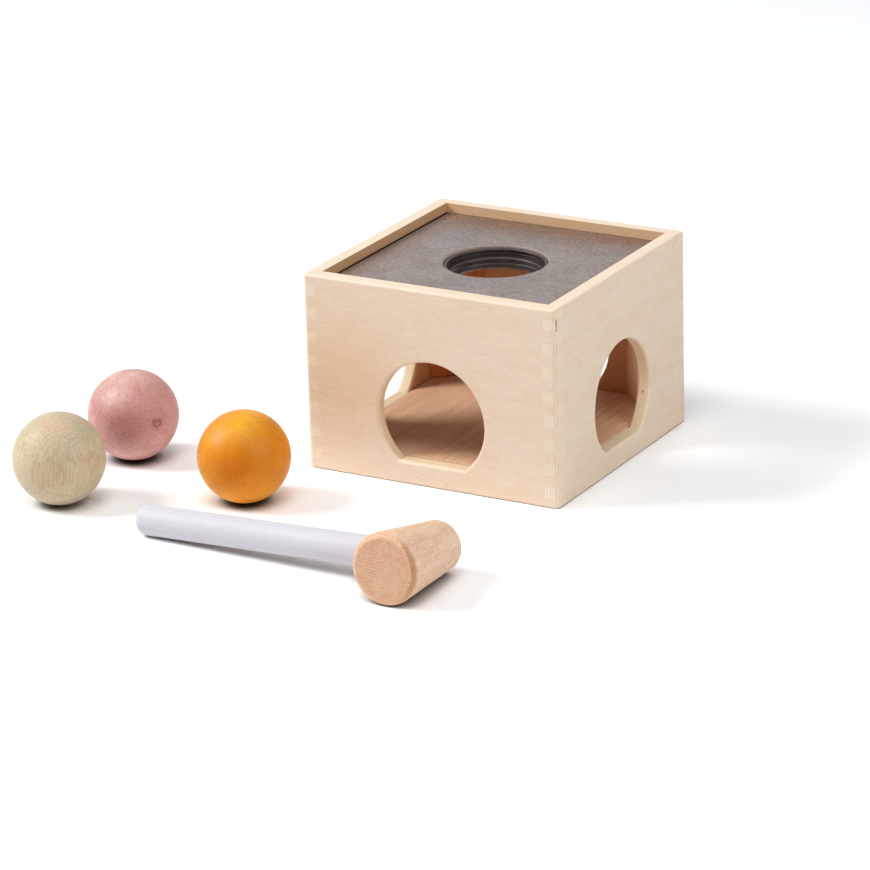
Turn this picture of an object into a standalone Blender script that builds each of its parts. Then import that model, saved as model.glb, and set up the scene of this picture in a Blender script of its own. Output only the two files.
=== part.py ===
"""Wooden ball pounding box: a finger-jointed box with a ball hole, three balls and a mallet.

Metres, +Z up. The origin is the centre of the box's underside, on the table, and the front wall
faces -Y. The balls and the mallet lie on the table in front of the box and to its left.
"""
import math

import bmesh
import bpy
from mathutils import Matrix, Vector

# Clearances
GAP = 0.0003
PANEL_GAP = 0.0005

# Box: outer sizes, boards, rounded corners and sanded edges
BOX_WIDTH = 0.1524
BOX_DEPTH = 0.1524
BOX_HEIGHT = 0.110
WALL = 0.008
FLOOR_THICKNESS = 0.0135
CORNER_ROUND = 0.003
SANDED_EDGE = 0.0015
SANDING_ALLOWANCE = 0.001

# Finger joints at the corners: finger height, and the least height left at the top and bottom ends
FINGER_HEIGHT = 0.00665
LEAST_END_FINGER = 0.003

# Ball openings in the walls: a circle round the ball, cut off by a sill
BALL_DIAMETER = 0.050
OPENING_CLEARANCE = 0.007
OPENING_CENTRE_HEIGHT = 0.038
SILL_BELOW_FLOOR = 0.0007
OPENING_EDGE = 0.001

# Top panel, its hole and the rubber ring
PANEL_THICKNESS = 0.013
PANEL_RECESS = 0.0052
HOLE_CLEARANCE = 0.0035
HOLE_EDGE = 0.0008
RING_SEAT_DEPTH = 0.0014
RING_SEAT_WIDTH = 0.002
RING_BELOW_PANEL = 0.0014
RING_WALL = 0.0009
RING_RIB_HEIGHT = 0.0055
RING_RIB_EDGE = 0.0012
RING_GRIP = 0.0005

# Corner posts and the screws that hold the floor to them
POST_LEG = 0.0242
SCREW_LENGTH = 0.025
SCREW_SHANK_DIAMETER = 0.0035
SCREW_HEAD_DIAMETER = 0.007
SCREW_HEAD_SUNK = 0.0006
SCREW_POINT = 0.004
SCREW_SLOT_WIDTH = 0.001
SCREW_SLOT_DEPTH = 0.001

# Mallet
HEAD_FACE_DIAMETER = 0.038
HEAD_TAIL_DIAMETER = 0.027
HEAD_LENGTH = 0.056
HEAD_EDGE = 0.0025
HANDLE_DIAMETER = 0.0164
HANDLE_REACH = 0.1653
HANDLE_PAST_AXIS = 0.004
HANDLE_END_ROUND = 0.005

# Where the loose pieces lie: distances to the left of the box and in front of it, to their centres
BALLS_LEFT = {"green": 0.0924, "pink": 0.0940, "orange": 0.0046}
BALLS_IN_FRONT = {"green": 0.1023, "pink": 0.0276, "orange": 0.0580}
HEAD_INSIDE_RIGHT = 0.0167
HEAD_IN_FRONT = 0.1267
HEAD_HEADING = math.radians(88.0)

# Sizes that follow from those above
INNER_X = BOX_WIDTH / 2 - WALL
INNER_Y = BOX_DEPTH / 2 - WALL
BALL_RADIUS = BALL_DIAMETER / 2
OPENING_RADIUS = BALL_RADIUS + OPENING_CLEARANCE
SILL_HEIGHT = FLOOR_THICKNESS - SILL_BELOW_FLOOR
PANEL_TOP = BOX_HEIGHT - PANEL_RECESS
PANEL_UNDERSIDE = PANEL_TOP - PANEL_THICKNESS
HOLE_RADIUS = BALL_RADIUS + HOLE_CLEARANCE
HANDLE_RADIUS = HANDLE_DIAMETER / 2
HEAD_TAPER = math.atan((HEAD_FACE_DIAMETER - HEAD_TAIL_DIAMETER) / 2 / (HEAD_LENGTH - 2 * HEAD_EDGE))
POST_BOTTOM = FLOOR_THICKNESS + GAP
POST_TOP = PANEL_UNDERSIDE - GAP
POST_MIDDLE = POST_LEG / 3
FINGER_PITCH = 2 * FINGER_HEIGHT
SIDE_FINGERS = 1 + int((BOX_HEIGHT - FINGER_HEIGHT - 2 * LEAST_END_FINGER) / FINGER_PITCH)

# Facets on round shapes, the angles past which an edge stays sharp or is sanded, and the distance for
# merging points
OPENING_FACETS = 44
HOLE_FACETS = 64
BALL_FACETS = 40
MALLET_FACETS = 48
SCREW_FACETS = 20
EDGE_FACETS = 3
CORNER_FACETS = 6
SHARP_ANGLE = math.radians(35)
SANDED_ANGLE = math.radians(60)
MERGE_DISTANCE = 0.00001

LEFT_RIGHT = {"left": -1, "right": 1}
FRONT_BACK = {"front": -1, "back": 1}


def clear_scene():
    for old in list(bpy.data.objects):
        bpy.data.objects.remove(old, do_unlink=True)


def new_collection(name):
    collection = bpy.data.collections.new(name)
    bpy.context.scene.collection.children.link(collection)
    return collection


def new_material(name, colour, roughness, metallic=0.0):
    material = bpy.data.materials.new(name)
    material.use_nodes = True
    shader = material.node_tree.nodes["Principled BSDF"]
    shader.inputs["Base Color"].default_value = (*colour, 1.0)
    shader.inputs["Roughness"].default_value = roughness
    shader.inputs["Metallic"].default_value = metallic
    return material


def add_part(name, mesh, material):
    """A sub-part of the toy, in the toy's collection."""
    mesh.materials.append(material)
    part = bpy.data.objects.new(name, mesh)
    toy.objects.link(part)
    return part


def add_cutter(name, mesh):
    """A shape that only cuts or trims sub-parts."""
    cutter = bpy.data.objects.new(name, mesh)
    cutter.hide_render = True
    cutter.display_type = "WIRE"
    cutters.objects.link(cutter)
    return cutter


def carve(part, cutter, operation="DIFFERENCE"):
    modifier = part.modifiers.new(cutter.name, "BOOLEAN")
    modifier.operation = operation
    modifier.object = cutter
    modifier.solver = "EXACT"


def mesh_from(bm, name):
    mesh = bpy.data.meshes.new(name)
    bmesh.ops.recalc_face_normals(bm, faces=bm.faces)
    bm.to_mesh(mesh)
    bm.free()
    return mesh


def add_block(bm, low, high):
    """A box between two corners."""
    low = Vector(low)
    high = Vector(high)
    size = Matrix.Diagonal((*(high - low), 1.0))
    bmesh.ops.create_cube(bm, size=1.0, matrix=Matrix.Translation((low + high) / 2) @ size)


def block_mesh(name, low, high):
    bm = bmesh.new()
    add_block(bm, low, high)
    return mesh_from(bm, name)


def upright_mesh(name, outline, bottom, top):
    """An outline of (x, y) points, raised from one height to another."""
    bm = bmesh.new()
    foot = bm.faces.new([bm.verts.new((*point, bottom)) for point in outline])
    raised = bmesh.ops.extrude_face_region(bm, geom=[foot], use_keep_orig=True)
    upper = [item for item in raised["geom"] if isinstance(item, bmesh.types.BMVert)]
    bmesh.ops.translate(bm, vec=(0.0, 0.0, top - bottom), verts=upper)
    return mesh_from(bm, name)


def arc(centre, radius, start, end, facets=EDGE_FACETS):
    """Points of a circular arc between two angles in degrees."""
    points = []
    for step in range(facets + 1):
        angle = math.radians(start + (end - start) * step / facets)
        points.append((centre[0] + radius * math.cos(angle), centre[1] + radius * math.sin(angle)))
    return points


def turned_mesh(name, profile, facets, closed=False):
    """Turn a profile of (radius, height) points about Z; an open one runs from the top to the bottom."""
    outline = bpy.data.meshes.new(name + "_profile")
    count = len(profile)
    edges = [(i, i + 1) for i in range(count - 1)]
    if closed:
        edges.append((count - 1, 0))
    outline.from_pydata([(x, 0.0, z) for x, z in profile], edges, [])
    turning = bpy.data.objects.new(name, outline)
    bpy.context.scene.collection.objects.link(turning)
    screw = turning.modifiers.new("Screw", "SCREW")
    screw.steps = facets
    screw.render_steps = facets
    screw.use_merge_vertices = True
    screw.merge_threshold = MERGE_DISTANCE
    screw.use_smooth_shade = True
    bpy.context.view_layer.update()
    evaluated = turning.evaluated_get(bpy.context.evaluated_depsgraph_get())
    mesh = bpy.data.meshes.new_from_object(evaluated)
    bpy.data.objects.remove(turning)
    bm = bmesh.new()
    bm.from_mesh(mesh)
    bpy.data.meshes.remove(mesh)
    bmesh.ops.remove_doubles(bm, verts=bm.verts, dist=MERGE_DISTANCE)
    mesh = mesh_from(bm, name)
    mesh.shade_smooth()
    mesh.set_sharp_from_angle(angle=SHARP_ANGLE)
    return mesh


def finger_heights():
    """Bottom and top of each side wall finger, spread evenly about the middle of the box's height."""
    spans = []
    for index in range(SIDE_FINGERS):
        middle = BOX_HEIGHT / 2 + (index - (SIDE_FINGERS - 1) / 2) * FINGER_PITCH
        spans.append((middle - FINGER_HEIGHT / 2, middle + FINGER_HEIGHT / 2))
    return spans


def front_notch_cutter():
    """Takes the side walls' fingers out of the front and back walls, with the joint's clearance."""
    bm = bmesh.new()
    for side in LEFT_RIGHT.values():
        inner = side * (INNER_X - GAP)
        outer = side * BOX_WIDTH
        for bottom, top in finger_heights():
            add_block(bm, (min(inner, outer), -BOX_DEPTH, bottom - GAP / 2),
                      (max(inner, outer), BOX_DEPTH, top + GAP / 2))
    return add_cutter("side_finger_notches", mesh_from(bm, "side_finger_notches"))


def side_notch_cutter():
    """Takes the front and back walls' fingers, and their two end pieces, out of the side walls."""
    bm = bmesh.new()
    spans = finger_heights()
    tops = [-BOX_HEIGHT] + [top for bottom, top in spans]
    bottoms = [bottom for bottom, top in spans] + [2 * BOX_HEIGHT]
    for side in FRONT_BACK.values():
        inner = side * (INNER_Y - GAP)
        outer = side * BOX_DEPTH
        for below, above in zip(tops, bottoms):
            add_block(bm, (-BOX_WIDTH, min(inner, outer), below - GAP / 2),
                      (BOX_WIDTH, max(inner, outer), above + GAP / 2))
    return add_cutter("front_finger_notches", mesh_from(bm, "front_finger_notches"))


def sanding_block():
    """The box's outside with its corners and edges rounded; the walls are trimmed to it after jointing."""
    x = BOX_WIDTH / 2 - CORNER_ROUND
    y = BOX_DEPTH / 2 - CORNER_ROUND
    outline = []
    for corner, start in (((x, y), 0), ((-x, y), 90), ((-x, -y), 180), ((x, -y), 270)):
        outline += arc(corner, CORNER_ROUND, start, start + 90, CORNER_FACETS)
    cutter = add_cutter("sanded_outside", upright_mesh("sanded_outside", outline, 0.0, BOX_HEIGHT))
    bevel = cutter.modifiers.new("Sanded edges", "BEVEL")
    bevel.width = SANDED_EDGE
    bevel.segments = EDGE_FACETS
    bevel.limit_method = "ANGLE"
    bevel.angle_limit = SANDED_ANGLE
    return cutter


def opening_outline(outset):
    """The opening's outline in a wall, as (across, height) points, moved outwards by outset."""
    radius = OPENING_RADIUS + outset
    drop = OPENING_CENTRE_HEIGHT - SILL_HEIGHT + outset
    corner = math.asin(drop / radius)
    points = []
    for step in range(OPENING_FACETS + 1):
        angle = -corner + (math.pi + 2 * corner) * step / OPENING_FACETS
        points.append((radius * math.cos(angle), OPENING_CENTRE_HEIGHT + radius * math.sin(angle)))
    return points


def opening_cutter(name, inner_face, along_y):
    """A cutter for the openings of two facing walls, with its rims flared to round the edges.

    inner_face is the distance from the middle of the box to each wall's inner face.
    """
    sections = []
    for step in range(EDGE_FACETS + 1):
        angle = math.pi / 2 * step / EDGE_FACETS
        sections.append((OPENING_EDGE * (1 - math.cos(angle)), OPENING_EDGE * math.sin(angle)))
    inner_rim = [(inner_face + OPENING_EDGE - along, outset) for outset, along in sections]
    outer_rim = [(inner_face + WALL - OPENING_EDGE + along, outset) for outset, along in sections]
    one_wall = inner_rim[::-1] + outer_rim
    one_wall.append((inner_face + 2 * WALL, OPENING_EDGE))
    stations = [(-along, outset) for along, outset in one_wall[::-1]] + one_wall
    bm = bmesh.new()
    rings = []
    for along, outset in stations:
        ring = []
        for across, height in opening_outline(outset):
            ring.append(bm.verts.new((across, along, height) if along_y else (along, across, height)))
        rings.append(ring)
    loops = [[bm.edges.new((ring[i - 1], ring[i])) for i in range(len(ring))] for ring in rings]
    for first, second in zip(loops, loops[1:]):
        bmesh.ops.bridge_loops(bm, edges=first + second)
    for ring in (rings[0], rings[-1]):
        bmesh.ops.contextual_create(bm, geom=ring)
    return add_cutter(name, mesh_from(bm, name))


def make_walls():
    """Four finger-jointed boards with a ball opening in each."""
    wood = new_material("pale_wood", (0.79, 0.62, 0.45), 0.55)
    sanded = sanding_block()
    front_notches = front_notch_cutter()
    side_notches = side_notch_cutter()
    front_openings = opening_cutter("front_back_openings", INNER_Y, True)
    side_openings = opening_cutter("left_right_openings", INNER_X, False)
    rough_x = BOX_WIDTH / 2 + SANDING_ALLOWANCE
    rough_y = BOX_DEPTH / 2 + SANDING_ALLOWANCE
    rough_bottom = -SANDING_ALLOWANCE
    rough_top = BOX_HEIGHT + SANDING_ALLOWANCE
    for name, side in FRONT_BACK.items():
        near, far = sorted((side * INNER_Y, side * rough_y))
        board = block_mesh(name + "_wall", (-rough_x, near, rough_bottom), (rough_x, far, rough_top))
        wall = add_part(name + "_wall", board, wood)
        carve(wall, front_notches)
        carve(wall, front_openings)
        carve(wall, sanded, "INTERSECT")
    for name, side in LEFT_RIGHT.items():
        near, far = sorted((side * INNER_X, side * rough_x))
        board = block_mesh(name + "_wall", (near, -rough_y, rough_bottom), (far, rough_y, rough_top))
        wall = add_part(name + "_wall", board, wood)
        carve(wall, side_notches)
        carve(wall, side_openings)
        carve(wall, sanded, "INTERSECT")


def screw_profile(clearance=0.0):
    """A countersunk wood screw's outline from its tip at the top to its head, widened by clearance."""
    head = SCREW_HEAD_DIAMETER / 2
    shank = SCREW_SHANK_DIAMETER / 2
    tip = SCREW_HEAD_SUNK + SCREW_LENGTH
    neck = SCREW_HEAD_SUNK + head - shank
    return [(0.0, tip + clearance), (shank + clearance, tip - SCREW_POINT + clearance),
            (shank + clearance, neck), (head + clearance, SCREW_HEAD_SUNK)]


def screw_mesh(name):
    return turned_mesh(name, screw_profile() + [(0.0, SCREW_HEAD_SUNK)], SCREW_FACETS)


def screw_hole_mesh(name):
    """The countersunk hole for a screw, open at the floor's underside."""
    mouth = SCREW_HEAD_DIAMETER / 2 + GAP
    return turned_mesh(name, screw_profile(GAP) + [(mouth, -GAP), (0.0, -GAP)], SCREW_FACETS)


def slot_cutter(name, x, y):
    """The driver slot across a screw's head."""
    half = Vector((SCREW_HEAD_DIAMETER, SCREW_SLOT_WIDTH / 2, SCREW_SLOT_DEPTH))
    middle = Vector((x, y, SCREW_HEAD_SUNK))
    return add_cutter(name, block_mesh(name, middle - half, middle + half))


def post_mesh(width_side, depth_side):
    """A three-cornered post with its right angle in the box's corner."""
    x = width_side * (INNER_X - GAP)
    y = depth_side * (INNER_Y - GAP)
    outline = [(x, y), (x - width_side * POST_LEG, y), (x, y - depth_side * POST_LEG)]
    return upright_mesh("corner_post", outline, POST_BOTTOM, POST_TOP)


def make_floor_and_posts():
    """Floor board, the four posts that stand on it, and the screws driven up into them."""
    wood = new_material("floor_wood", (0.66, 0.45, 0.28), 0.6)
    post_wood = new_material("post_wood", (0.70, 0.50, 0.32), 0.6)
    steel = new_material("screw_steel", (0.60, 0.58, 0.55), 0.35, 1.0)
    floor_x = INNER_X - GAP
    floor_y = INNER_Y - GAP
    board = block_mesh("floor_board", (-floor_x, -floor_y, 0.0), (floor_x, floor_y, FLOOR_THICKNESS))
    floor_board = add_part("floor_board", board, wood)
    for depth_name, depth_side in FRONT_BACK.items():
        for width_name, width_side in LEFT_RIGHT.items():
            corner = depth_name + "_" + width_name
            x = width_side * (INNER_X - GAP - POST_MIDDLE)
            y = depth_side * (INNER_Y - GAP - POST_MIDDLE)
            hole = add_cutter("screw_hole_" + corner, screw_hole_mesh("screw_hole"))
            hole.location = (x, y, 0.0)
            carve(floor_board, hole)
            post = add_part("corner_post_" + corner, post_mesh(width_side, depth_side), post_wood)
            carve(post, hole)
            screw = add_part("floor_screw_" + corner, screw_mesh("floor_screw"), steel)
            screw.location = (x, y, 0.0)
            carve(screw, slot_cutter("slot_" + corner, x, y))


def make_top():
    """Painted top panel with its hole, and the rubber ring that grips the ball."""
    paint = new_material("grey_paint", (0.33, 0.29, 0.27), 0.5)
    rubber = new_material("black_rubber", (0.02, 0.02, 0.02), 0.45)
    panel_x = INNER_X - PANEL_GAP
    panel_y = INNER_Y - PANEL_GAP
    board = block_mesh("top_panel", (-panel_x, -panel_y, PANEL_UNDERSIDE), (panel_x, panel_y, PANEL_TOP))
    panel = add_part("top_panel", board, paint)
    seat = PANEL_UNDERSIDE + RING_SEAT_DEPTH
    seat_radius = HOLE_RADIUS - RING_SEAT_WIDTH
    above = PANEL_TOP + PANEL_THICKNESS
    below = PANEL_UNDERSIDE - PANEL_THICKNESS
    rim = arc((HOLE_RADIUS + HOLE_EDGE, PANEL_TOP - HOLE_EDGE), HOLE_EDGE, 90, 180)
    hole_profile = [(0.0, above), (HOLE_RADIUS + HOLE_EDGE, above), *rim, (HOLE_RADIUS, seat),
                    (seat_radius, seat), (seat_radius, below), (0.0, below)]
    carve(panel, add_cutter("ball_hole", turned_mesh("ball_hole", hole_profile, HOLE_FACETS)))
    outer = HOLE_RADIUS - GAP
    top = PANEL_TOP - RING_BELOW_PANEL
    bottom = seat + GAP
    rib_top = bottom + RING_RIB_HEIGHT
    throat = BALL_RADIUS - RING_GRIP
    inner = outer - RING_WALL
    rib_edge = arc((throat + RING_RIB_EDGE, rib_top - RING_RIB_EDGE), RING_RIB_EDGE, 180, 90)
    ring_profile = [(outer, top), (outer, bottom), (throat, bottom), *rib_edge,
                    (inner, rib_top), (inner, top)]
    add_part("grip_ring", turned_mesh("grip_ring", ring_profile, HOLE_FACETS, closed=True), rubber)


def make_balls():
    """Three stained wooden balls that rest on the table."""
    colours = {"green": (0.58, 0.54, 0.38), "pink": (0.58, 0.30, 0.31), "orange": (0.86, 0.36, 0.03)}
    for name, colour in colours.items():
        bm = bmesh.new()
        bmesh.ops.create_uvsphere(bm, u_segments=BALL_FACETS, v_segments=BALL_FACETS // 2, radius=BALL_RADIUS)
        mesh = mesh_from(bm, name + "_ball")
        mesh.shade_smooth()
        ball = add_part(name + "_ball", mesh, new_material(name + "_stain", colour, 0.5))
        x = -BOX_WIDTH / 2 - BALLS_LEFT[name]
        y = -BOX_DEPTH / 2 - BALLS_IN_FRONT[name]
        ball.location = (x, y, BALL_RADIUS)


def mallet_pose():
    """The head lying on its tapered side and the handle's end on the table.

    Returns the swing's matrix (at the middle of the rounding that the handle's end stands on, with the
    hinge along Y), the head's (its axis along Z, from the face to the tail) and the handle's (Z along
    the handle, away from the head); the last two meet at the middle of the head.
    """
    axis = Vector((math.cos(HEAD_HEADING) * math.cos(HEAD_TAPER),
                   math.sin(HEAD_HEADING) * math.cos(HEAD_TAPER), -math.sin(HEAD_TAPER)))
    sideways = Vector((-math.sin(HEAD_HEADING), math.cos(HEAD_HEADING), 0.0))
    upwards = axis.cross(sideways)
    mean_radius = (HEAD_FACE_DIAMETER + HEAD_TAIL_DIAMETER) / 4
    middle = Vector((BOX_WIDTH / 2 - HEAD_INSIDE_RIGHT, -BOX_DEPTH / 2 - HEAD_IN_FRONT,
                     (mean_radius - HEAD_EDGE) * math.cos(HEAD_TAPER) + HEAD_EDGE))
    along = HANDLE_REACH - HANDLE_END_ROUND
    across = HANDLE_RADIUS - HANDLE_END_ROUND
    dip = math.asin((middle.z - HANDLE_END_ROUND) / math.hypot(along, across)) - math.atan2(across, along)
    lean = math.asin(math.sin(dip) / upwards.z)
    handle_way = sideways * math.cos(lean) - upwards * math.sin(lean)
    head_turn = Matrix((handle_way, axis.cross(handle_way), axis)).transposed().to_4x4()
    handle_turn = Matrix((axis, handle_way.cross(axis), handle_way)).transposed().to_4x4()
    upright = Vector((0.0, 0.0, 1.0))
    level = Vector((handle_way.x, handle_way.y, 0.0)).normalized()
    foot = middle + handle_way * along - (level * math.sin(dip) + upright * math.cos(dip)) * across
    swing_turn = Matrix((level, upright.cross(level), upright)).transposed().to_4x4()
    to_middle = Matrix.Translation(middle)
    return Matrix.Translation(foot) @ swing_turn, to_middle @ head_turn, to_middle @ handle_turn


def make_mallet():
    """Tapered head with a blind bore in its side, and the round handle let into it."""
    wood = new_material("mallet_wood", (0.68, 0.45, 0.27), 0.55)
    paint = new_material("handle_paint", (0.68, 0.67, 0.76), 0.35)
    swing_matrix, head_matrix, handle_matrix = mallet_pose()
    face = HEAD_FACE_DIAMETER / 2
    tail = HEAD_TAIL_DIAMETER / 2
    half = HEAD_LENGTH / 2
    profile = [(0.0, half)]
    slope = math.degrees(HEAD_TAPER)
    profile += arc((tail - HEAD_EDGE, half - HEAD_EDGE), HEAD_EDGE, 90, slope)
    profile += arc((face - HEAD_EDGE, HEAD_EDGE - half), HEAD_EDGE, slope, -90)
    profile += [(0.0, -half)]
    swing = bpy.data.objects.new("mallet_swing", None)
    toy.objects.link(swing)
    swing.matrix_world = swing_matrix
    head = add_part("mallet_head", turned_mesh("mallet_head", profile, MALLET_FACETS), wood)
    head.parent = swing
    head.matrix_local = swing_matrix.inverted() @ head_matrix
    shaft = [(0.0, HANDLE_REACH)]
    shaft += arc((HANDLE_RADIUS - HANDLE_END_ROUND, HANDLE_REACH - HANDLE_END_ROUND), HANDLE_END_ROUND, 90, 0)
    shaft += [(HANDLE_RADIUS, -HANDLE_PAST_AXIS), (0.0, -HANDLE_PAST_AXIS)]
    handle = add_part("mallet_handle", turned_mesh("mallet_handle", shaft, MALLET_FACETS), paint)
    handle.parent = swing
    handle.matrix_local = swing_matrix.inverted() @ handle_matrix
    bore_radius = HANDLE_RADIUS + GAP
    bore_bottom = -HANDLE_PAST_AXIS - GAP
    bore = add_cutter("handle_bore", turned_mesh(
        "handle_bore", [(0.0, HANDLE_REACH), (bore_radius, HANDLE_REACH), (bore_radius, bore_bottom),
                        (0.0, bore_bottom)], MALLET_FACETS))
    bore.matrix_world = handle_matrix
    carve(head, bore)


clear_scene()
toy = new_collection("ball_pounding_box")
cutters = new_collection("cutters")
make_walls()
make_floor_and_posts()
make_top()
make_balls()
make_mallet()
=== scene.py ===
"""Looks of a wooden ball pounding box: plywood walls, a stained top, a rubber ring, balls and a mallet."""
import math

import bmesh
import bpy
from mathutils import Matrix, Vector


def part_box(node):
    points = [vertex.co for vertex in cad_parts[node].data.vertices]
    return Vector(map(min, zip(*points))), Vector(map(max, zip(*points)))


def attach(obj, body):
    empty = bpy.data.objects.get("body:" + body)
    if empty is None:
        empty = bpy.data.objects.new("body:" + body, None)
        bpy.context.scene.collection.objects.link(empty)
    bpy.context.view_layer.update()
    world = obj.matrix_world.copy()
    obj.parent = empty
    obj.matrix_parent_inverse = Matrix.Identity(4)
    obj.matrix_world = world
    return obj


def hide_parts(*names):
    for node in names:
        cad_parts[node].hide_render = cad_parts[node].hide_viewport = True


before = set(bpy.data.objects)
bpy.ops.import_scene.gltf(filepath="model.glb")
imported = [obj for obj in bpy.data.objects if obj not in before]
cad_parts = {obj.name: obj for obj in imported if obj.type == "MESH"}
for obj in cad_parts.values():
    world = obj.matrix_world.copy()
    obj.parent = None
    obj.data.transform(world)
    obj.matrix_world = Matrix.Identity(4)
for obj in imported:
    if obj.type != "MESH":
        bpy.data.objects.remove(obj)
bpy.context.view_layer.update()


# Floor board
# A board of plain solid wood that closes the box from below and catches the ball that drops.
# It lies between the walls, its grain from front to back, and is screwed to the corner posts from below.
FLOOR_EDGE = 0.0003
FLOOR_PALE = (0.87, 0.57, 0.37)
FLOOR_DARK = (0.73, 0.385, 0.22)
FLOOR_SIDE = (0.74, 0.55, 0.39)
FLOOR_PITH = (0.02, 0.09)
FLOOR_RING = 0.0045
GRAIN_ALONG_Y = (-math.pi / 2, 0.0, 0.0)
SCREW_HEAD_RADIUS = 0.0035
SCREW_SHANK_RADIUS = 0.00175
SCREW_SUNK = 0.0006
SCREW_CLEARANCE = 0.0001
SCREW_HOLE_FACETS = 40


def feed(tree, socket, value):
    """Link a socket to another node's output, or set its value."""
    if isinstance(value, bpy.types.NodeSocket):
        tree.links.new(value, socket)
    else:
        socket.default_value = value


def add_node(tree, kind, inputs=None, **settings):
    """A node with its settings, and with its inputs linked or set by name or number."""
    node = tree.nodes.new(kind)
    for name, value in settings.items():
        setattr(node, name, value)
    for key, value in (inputs or {}).items():
        feed(tree, node.inputs[key], value)
    return node


def calc(tree, operation, first, second=0.0):
    return add_node(tree, "ShaderNodeMath", {0: first, 1: second}, operation=operation).outputs[0]


def times(tree, first, second):
    return calc(tree, "MULTIPLY", first, second)


def spread(tree, value, low, high, to_low=0.0, to_high=1.0):
    """A value eased from one range to another, and held at the ends."""
    inputs = {"Value": value, "From Min": low, "From Max": high, "To Min": to_low, "To Max": to_high}
    return add_node(tree, "ShaderNodeMapRange", inputs, interpolation_type="SMOOTHSTEP").outputs[0]


def tinted(tree, factor, first, second, blend="MIX"):
    """Two colours blended by a factor."""
    colours = [tone if isinstance(tone, bpy.types.NodeSocket) else (*tone, 1.0) for tone in (first, second)]
    inputs = {0: factor, 6: colours[0], 7: colours[1]}
    return add_node(tree, "ShaderNodeMix", inputs, data_type="RGBA", blend_type=blend).outputs[2]


def axes_of(tree, vector):
    """The X, Y and Z of a vector."""
    return add_node(tree, "ShaderNodeSeparateXYZ", {0: vector}).outputs


def only(tree, vector, axes):
    """A vector multiplied along each axis, by 1 to keep it or by 0 to drop it."""
    return add_node(tree, "ShaderNodeVectorMath", {0: vector, 1: axes}, operation="MULTIPLY").outputs[0]


def away_from(tree, vector, point):
    """How far a place lies from a point."""
    inputs = {0: vector, 1: point}
    return add_node(tree, "ShaderNodeVectorMath", inputs, operation="DISTANCE").outputs["Value"]


def seen_from(tree, vector, location=(0.0, 0.0, 0.0), rotation=(0.0, 0.0, 0.0)):
    """A vector in the coordinates of a frame that is moved and turned."""
    inputs = {"Vector": vector, "Location": location, "Rotation": rotation}
    return add_node(tree, "ShaderNodeMapping", inputs, vector_type="TEXTURE").outputs[0]


def facing_of(tree, rotation=(0.0, 0.0, 0.0)):
    """The X, Y and Z of the way a surface faces, in a turned frame."""
    normal = add_node(tree, "ShaderNodeTexCoord").outputs["Normal"]
    return axes_of(tree, seen_from(tree, normal, rotation=rotation))


def grain_noise(tree, vector, scale, shift=0.0, detail=3.0, distortion=0.0):
    """Noise whose features are one over each scale long, in metres, moved along by a shift."""
    inputs = {"Vector": vector, "Scale": scale, "Location": (shift,) * 3}
    stretched = add_node(tree, "ShaderNodeMapping", inputs).outputs[0]
    inputs = {"Vector": stretched, "Scale": 1.0, "Detail": detail, "Distortion": distortion}
    return add_node(tree, "ShaderNodeTexNoise", inputs).outputs[0]


def new_material(name, roughness, specular=0.5):
    """A material with its tree, its shader and its Object coordinates."""
    material = bpy.data.materials.new(name)
    material.use_nodes = True
    tree = material.node_tree
    shader = tree.nodes["Principled BSDF"]
    shader.inputs["Roughness"].default_value = roughness
    shader.inputs["Specular IOR Level"].default_value = specular
    place = add_node(tree, "ShaderNodeTexCoord").outputs["Object"]
    return material, tree, shader, place


def coat(tree, shader, colour, height, distance, roughness=None):
    """Give a shader its colour, the bumps of a height pattern and, where it varies, its roughness."""
    feed(tree, shader.inputs["Base Color"], colour)
    bump = add_node(tree, "ShaderNodeBump", {"Height": height, "Distance": distance, "Strength": 0.5})
    feed(tree, shader.inputs["Normal"], bump.outputs[0])
    if roughness is not None:
        feed(tree, shader.inputs["Roughness"], roughness)


def growth_rings(tree, wood, pith, width, scale, wander, low=0.0):
    """Rings round a pith that runs along Z; they wander by noise of a scale."""
    reach = away_from(tree, only(tree, wood, (1.0, 1.0, 0.0)), (*pith, 0.0))
    uneven = times(tree, grain_noise(tree, wood, scale, 3.1), wander)
    phase = calc(tree, "ADD", calc(tree, "DIVIDE", reach, width), uneven)
    return spread(tree, calc(tree, "PINGPONG", phase, 0.5), low, 0.5)


def solid_wood(name, pale, dark, centre, turn, pith, ring_width, side_tone=None):
    """Plain wood with its grain along Z of a frame at centre, growth rings round a pith, and pores.

    Its upright faces can have a tone of their own.
    """
    material, tree, shader, place = new_material(name, 0.7, 0.25)
    wood = seen_from(tree, place, centre, turn)
    ring = growth_rings(tree, wood, pith, ring_width, (60.0, 60.0, 9.0), 2.4, 0.05)
    streak = grain_noise(tree, wood, (850.0, 850.0, 26.0), 7.7, distortion=0.3)
    pore = grain_noise(tree, wood, (2600.0, 2600.0, 210.0), 1.3, detail=1.0)
    blotch = grain_noise(tree, wood, (45.0, 45.0, 22.0), 5.9)
    shade = calc(tree, "ADD", times(tree, ring, 0.14), times(tree, streak, 0.70))
    colour = tinted(tree, spread(tree, shade, 0.2, 0.75), pale, dark)
    colour = tinted(tree, spread(tree, blotch, 0.35, 0.7, 0.0, 0.25), colour, dark)
    colour = tinted(tree, spread(tree, pore, 0.58, 0.72, 0.0, 0.4), colour, dark, "MULTIPLY")
    if side_tone:
        level = calc(tree, "ABSOLUTE", facing_of(tree)["Z"])
        colour = tinted(tree, spread(tree, level, 0.97, 0.75), colour, side_tone)
    coat(tree, shader, colour, calc(tree, "ADD", streak, pore), 0.00012)
    return material


def round_edges(bm, edges, radius, steps):
    """Round some edges of a mesh."""
    bmesh.ops.bevel(bm, geom=edges, offset=radius, segments=steps, profile=0.5, affect="EDGES", material=-1)


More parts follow.
